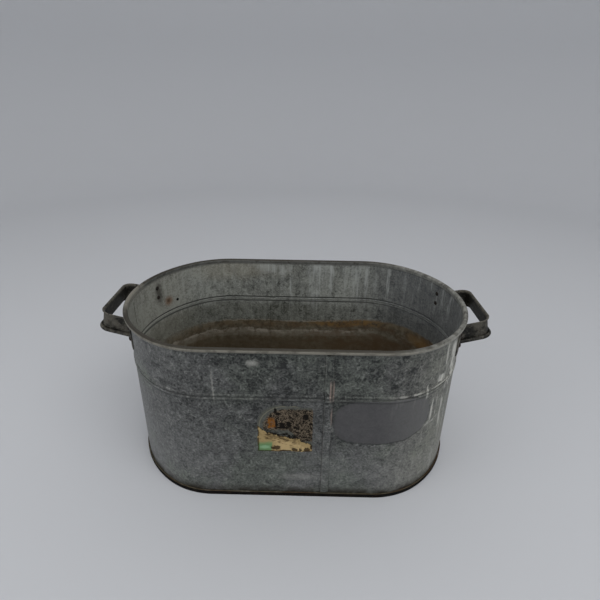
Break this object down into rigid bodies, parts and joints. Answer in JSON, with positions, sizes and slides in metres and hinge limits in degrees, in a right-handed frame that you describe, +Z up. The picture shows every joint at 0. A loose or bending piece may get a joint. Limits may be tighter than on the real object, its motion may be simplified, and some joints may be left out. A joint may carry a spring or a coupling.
{
  "type": "oval galvanized wash tub",
  "caption": "Straight-sided oval wash tub in galvanized sheet, with a wired rim, two swaged beads, folded seams and a riveted handle at each end.",
  "frame": {"origin": "middle of the footprint, on the surface that the tub stands on", "axes": "+X along the tub toward the right handle, -Y out of the front that carries the paper label, +Z up out of the mouth"},
  "size_m": [0.6756, 0.3664, 0.298],
  "materials": {
    "sheet": "weathered galvanized sheet",
    "wire": "plain steel wire",
    "handle": "darkened galvanized strip",
    "rivet": "dull, lightly rusted",
    "label": "worn brown paper"
  },
  "bodies": {
    "root": {"body_sheet_right": "sheet", "body_sheet_left": "sheet", "bottom_pan": "sheet", "rim_wire": "wire", "handle_left": "handle", "handle_right": "handle", "handle_rivets_left": "rivet", "handle_rivets_right": "rivet", "paper_label": "label"}
  },
  "joints": []
}
